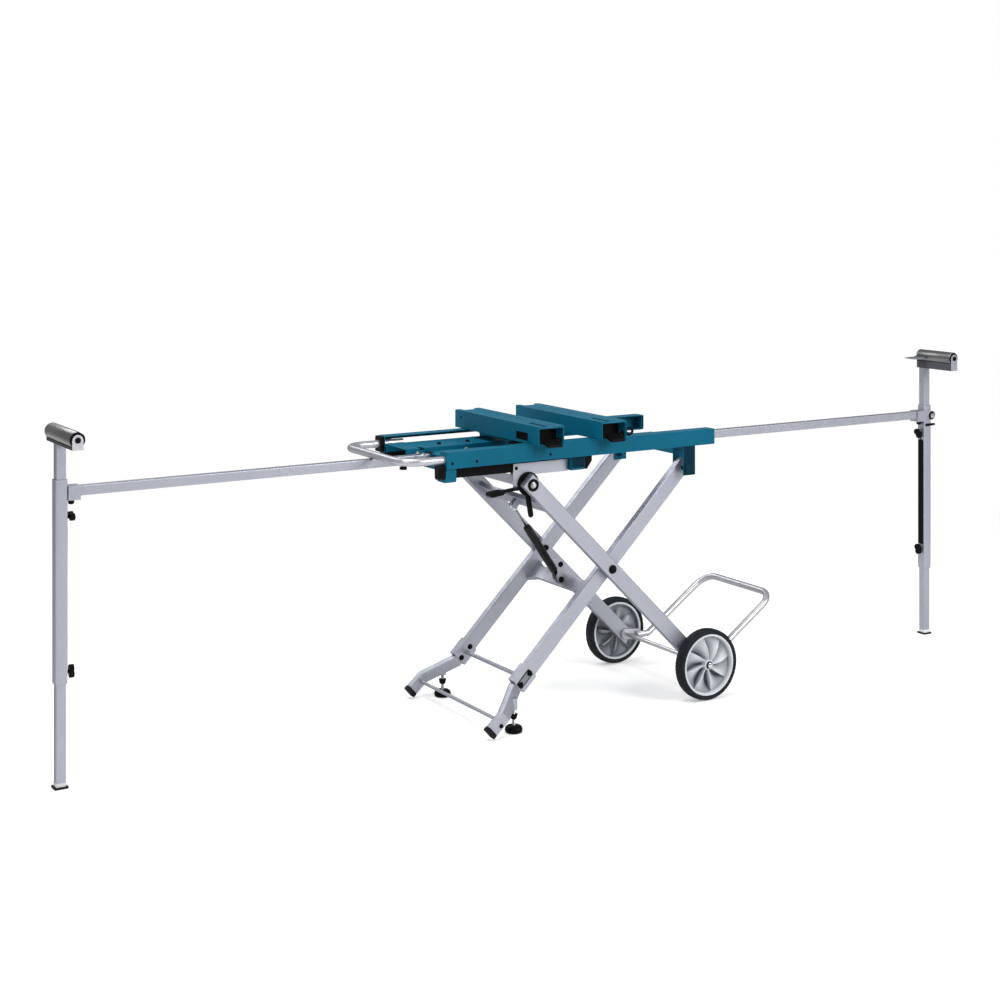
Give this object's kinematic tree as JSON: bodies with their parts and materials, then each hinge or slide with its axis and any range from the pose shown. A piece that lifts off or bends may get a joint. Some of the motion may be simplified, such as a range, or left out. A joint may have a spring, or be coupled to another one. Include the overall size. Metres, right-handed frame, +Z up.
{
  "type": "miter saw stand",
  "caption": "Folding wheeled saw stand with scissor legs, a rail table, clamping saw arms, and long side bars that carry roller supports on adjustable legs.",
  "frame": {"origin": "centre of the footprint of the set-up stand, on the floor", "axes": "+Z up, X along the side bars with the wheels towards +X, -Y towards the front, where the carriage's release lever is"},
  "size_m": [2.6614, 0.4532, 0.8495],
  "materials": {
    "teal_paint": "smooth satin powder coat",
    "silver_paint": "smooth silver-grey powder coat",
    "bright_steel": "bright zinc-plated steel",
    "black_plastic": "fine-grained black plastic",
    "black_paint": "satin black paint",
    "black_rubber": "matt black rubber",
    "tyre_rubber": "matt black solid tyre rubber",
    "hub_plastic": "light grey moulded plastic",
    "roller_steel": "dull grey steel tube",
    "head_steel": "grey painted sheet steel"
  },
  "bodies": {
    "table": {"front_rail": "teal_paint", "rear_rail": "teal_paint", "bar_housing": "teal_paint", "spine_channel": "teal_paint", "carry_handle": "silver_paint", "front_slide_track": "black_plastic", "rear_slide_track": "black_plastic", "front_hinge_pin": "bright_steel", "rear_hinge_pin": "bright_steel"},
    "inner_frame": {"inner_leg_frame": "silver_paint", "foot_sleeves": "silver_paint", "foot_frame": "silver_paint", "front_toe_cap": "black_rubber", "rear_toe_cap": "black_rubber"},
    "outer_frame": {"outer_leg_frame": "silver_paint", "front_centre_bolt": "bright_steel", "rear_centre_bolt": "bright_steel", "front_carriage_bolt": "bright_steel", "rear_carriage_bolt": "bright_steel", "latch_arm": "black_plastic", "wheel_axle": "bright_steel", "ground_loop": "silver_paint"},
    "carriage": {"carriage_frame": "silver_paint"},
    "release_lever": {"release_lever": "black_plastic"},
    "strut_cylinder": {"strut_cylinder": "black_paint"},
    "strut_rod": {"strut_rod": "bright_steel"},
    "front_wheel": {"front_wheel_hub": "hub_plastic", "front_tyre": "tyre_rubber"},
    "rear_wheel": {"rear_wheel_hub": "hub_plastic", "rear_tyre": "tyre_rubber"},
    "front_levelling_foot": {"front_levelling_foot": "black_plastic"},
    "rear_levelling_foot": {"rear_levelling_foot": "black_plastic"},
    "left_saw_arm": {"left_saw_arm": "teal_paint"},
    "right_saw_arm": {"right_saw_arm": "teal_paint"},
    "left_arm_lever": {"left_arm_lever": "black_plastic"},
    "right_arm_lever": {"right_arm_lever": "black_plastic"},
    "left_bar_knob": {"left_bar_knob": "black_plastic"},
    "left_bar": {"left_bar": "silver_paint", "left_pole": "silver_paint"},
    "left_head": {"left_upper_post": "silver_paint", "left_roller_channel": "head_steel"},
    "left_roller": {"left_roller": "roller_steel"},
    "left_lower_post": {"left_lower_post": "silver_paint", "left_foot_pad": "black_rubber"},
    "left_upper_knob": {"left_upper_knob": "black_plastic"},
    "left_lower_knob": {"left_lower_knob": "black_plastic"},
    "right_bar": {"right_bar": "silver_paint", "right_pole": "silver_paint"},
    "right_head": {"right_upper_post": "silver_paint", "right_roller_channel": "head_steel"},
    "right_roller": {"right_roller": "roller_steel"},
    "right_lower_post": {"right_lower_post": "silver_paint", "right_foot_pad": "black_rubber"},
    "right_upper_knob": {"right_upper_knob": "black_plastic"},
    "right_lower_knob": {"right_lower_knob": "black_plastic"},
    "stop_plate": {"right_stop_plate": "silver_paint"}
  },
  "joints": [
    {"name": "leg_fold", "type": "hinge", "parent": "table", "child": "inner_frame", "pos_m": [0.28625, 0, 0.599], "axis": [0, 1, 0], "range_deg": [0, 26]},
    {"name": "scissor_cross", "type": "hinge", "parent": "inner_frame", "child": "outer_frame", "pos_m": [0.04775, 0, 0.36466], "axis": [0, 1, 0], "range_deg": [-52, 0]},
    {"name": "carriage_level", "type": "hinge", "parent": "outer_frame", "child": "carriage", "pos_m": [-0.19075, 0, 0.599], "axis": [0, 1, 0], "range_deg": [0, 26]},
    {"name": "strut_swing", "type": "hinge", "parent": "inner_frame", "child": "strut_cylinder", "pos_m": [-0.00389, 0, 0.32233], "axis": [0, -1, 0], "range_deg": [0, 58]},
    {"name": "strut_stroke", "type": "slide", "parent": "strut_cylinder", "child": "strut_rod", "axis": [0.569, 0, -0.8223], "range_m": [0, 0.058]},
    {"name": "release_lever_lift", "type": "hinge", "parent": "carriage", "child": "release_lever", "pos_m": [-0.22825, -0.1595, 0.591], "axis": [0, 1, 0], "range_deg": [0, 12], "stiffness_Nm_per_rad": 0.5},
    {"name": "front_wheel_turn", "type": "hinge", "parent": "outer_frame", "child": "front_wheel", "pos_m": [0.32525, -0.2056, 0.092], "axis": [0, 1, 0], "continuous": true},
    {"name": "rear_wheel_turn", "type": "hinge", "parent": "outer_frame", "child": "rear_wheel", "pos_m": [0.32525, 0.2056, 0.092], "axis": [0, 1, 0], "continuous": true},
    {"name": "front_levelling_foot_screw", "type": "slide", "parent": "inner_frame", "child": "front_levelling_foot", "axis": [0, 0, 1], "range_m": [0, 0.01]},
    {"name": "rear_levelling_foot_screw", "type": "slide", "parent": "inner_frame", "child": "rear_levelling_foot", "axis": [0, 0, 1], "range_m": [0, 0.01]},
    {"name": "left_saw_arm_slide", "type": "slide", "parent": "table", "child": "left_saw_arm", "axis": [1, 0, 0], "range_m": [-0.2, 0.05]},
    {"name": "right_saw_arm_slide", "type": "slide", "parent": "table", "child": "right_saw_arm", "axis": [1, 0, 0], "range_m": [-0.05, 0.25]},
    {"name": "left_arm_lever_drop", "type": "hinge", "parent": "left_saw_arm", "child": "left_arm_lever", "pos_m": [-0.15475, -0.193, 0.706], "axis": [1, 0, 0], "range_deg": [0, 40]},
    {"name": "right_arm_lever_drop", "type": "hinge", "parent": "right_saw_arm", "child": "right_arm_lever", "pos_m": [0.03425, -0.193, 0.706], "axis": [1, 0, 0], "range_deg": [0, 40]},
    {"name": "left_bar_knob_turn", "type": "hinge", "parent": "table", "child": "left_bar_knob", "pos_m": [-0.44975, 0.0145, 0.642], "axis": [0, 0, -1], "range_deg": [0, 300]},
    {"name": "left_bar_slide", "type": "slide", "parent": "table", "child": "left_bar", "axis": [1, 0, 0], "range_m": [0, 0.47]},
    {"name": "left_head_height", "type": "slide", "parent": "left_bar", "child": "left_head", "axis": [0, 0, 1], "range_m": [-0.06, 0.07]},
    {"name": "left_roller_turn", "type": "hinge", "parent": "left_head", "child": "left_roller", "pos_m": [-1.31275, -0.02, 0.7855], "axis": [0, 1, 0], "continuous": true},
    {"name": "left_foot_height", "type": "slide", "parent": "left_bar", "child": "left_lower_post", "axis": [0, 0, 1], "range_m": [-0.06, 0.08]},
    {"name": "left_upper_knob_turn", "type": "hinge", "parent": "left_bar", "child": "left_upper_knob", "pos_m": [-1.29875, 0.0145, 0.6], "axis": [1, 0, 0], "range_deg": [0, 300]},
    {"name": "left_lower_knob_turn", "type": "hinge", "parent": "left_bar", "child": "left_lower_knob", "pos_m": [-1.29875, 0.0145, 0.255], "axis": [1, 0, 0], "range_deg": [0, 300]},
    {"name": "right_bar_slide", "type": "slide", "parent": "table", "child": "right_bar", "axis": [-1, 0, 0], "range_m": [0, 0.47]},
    {"name": "right_head_height", "type": "slide", "parent": "right_bar", "child": "right_head", "axis": [0, 0, 1], "range_m": [-0.06, 0.07]},
    {"name": "right_roller_turn", "type": "hinge", "parent": "right_head", "child": "right_roller", "pos_m": [1.30225, -0.0655, 0.8315], "axis": [0, 1, 0], "continuous": true},
    {"name": "right_foot_height", "type": "slide", "parent": "right_bar", "child": "right_lower_post", "axis": [0, 0, 1], "range_m": [-0.06, 0.08]},
    {"name": "right_upper_knob_turn", "type": "hinge", "parent": "right_bar", "child": "right_upper_knob", "pos_m": [1.28825, -0.0145, 0.6], "axis": [-1, 0, 0], "range_deg": [0, 300]},
    {"name": "right_lower_knob_turn", "type": "hinge", "parent": "right_bar", "child": "right_lower_knob", "pos_m": [1.28825, -0.0145, 0.255], "axis": [-1, 0, 0], "range_deg": [0, 300]},
    {"name": "stop_plate_flip", "type": "hinge", "parent": "right_head", "child": "stop_plate", "pos_m": [1.28075, -0.0188, 0.826], "axis": [0, 1, 0], "range_deg": [0, 90]}
  ],
  "couplings": [
    {"joint": "scissor_cross", "follows": "leg_fold", "ratio": -2},
    {"joint": "carriage_level", "follows": "leg_fold", "ratio": 1},
    {"joint": "strut_swing", "follows": "leg_fold", "ratio": 2.18},
    {"joint": "strut_stroke", "follows": "leg_fold", "m_per_rad": 0.1243}
  ]
}
